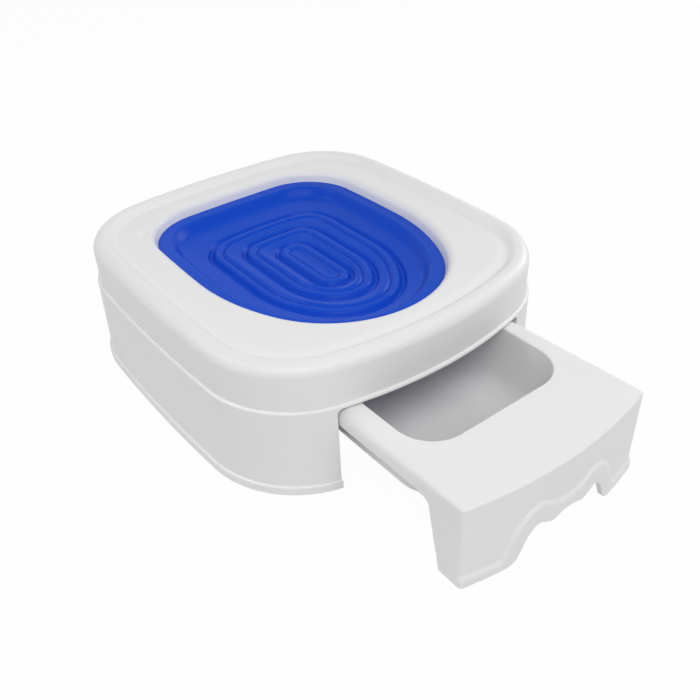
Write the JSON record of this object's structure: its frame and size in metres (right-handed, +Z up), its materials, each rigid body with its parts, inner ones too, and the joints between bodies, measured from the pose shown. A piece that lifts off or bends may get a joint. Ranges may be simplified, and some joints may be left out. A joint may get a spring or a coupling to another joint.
{
  "type": "drawer cat litter box",
  "caption": "White moulded cat litter box with a rounded lift-off cover, nested blue training tray and rings in its D-shaped hole, and a tub drawer sliding out at the front.",
  "frame": {"origin": "middle of the whole object's footprint at floor level, with the drawer as far out as in the picture", "axes": "+Z up, the drawer comes out towards -Y, +X to the right seen from the drawer's side"},
  "size_m": [0.394, 0.5824, 0.141],
  "materials": {
    "white_plastic": "satin white polypropylene",
    "blue_plastic": "semi-gloss blue"
  },
  "bodies": {
    "base": {"base": "white_plastic", "guide_rail_left": "white_plastic", "guide_rail_right": "white_plastic"},
    "cover": {"cover": "white_plastic"},
    "tray": {"training_tray": "blue_plastic"},
    "outer_ring": {"outer_ring": "blue_plastic"},
    "middle_ring": {"middle_ring": "blue_plastic"},
    "cap": {"centre_cap": "blue_plastic"},
    "drawer": {"drawer": "white_plastic"}
  },
  "joints": [
    {"name": "drawer_slide", "type": "slide", "parent": "base", "child": "drawer", "axis": [0, -1, 0], "range_m": [-0.152, 0.248]},
    {"name": "cover_lift", "type": "slide", "parent": "base", "child": "cover", "axis": [0, 0, 1], "range_m": [0, 0.15]},
    {"name": "tray_lift", "type": "slide", "parent": "cover", "child": "tray", "axis": [0, 0, 1], "range_m": [0, 0.1]},
    {"name": "outer_ring_lift", "type": "slide", "parent": "tray", "child": "outer_ring", "axis": [0, 0, 1], "range_m": [0, 0.08]},
    {"name": "middle_ring_lift", "type": "slide", "parent": "outer_ring", "child": "middle_ring", "axis": [0, 0, 1], "range_m": [0, 0.08]},
    {"name": "cap_lift", "type": "slide", "parent": "middle_ring", "child": "cap", "axis": [0, 0, 1], "range_m": [0, 0.08]}
  ]
}
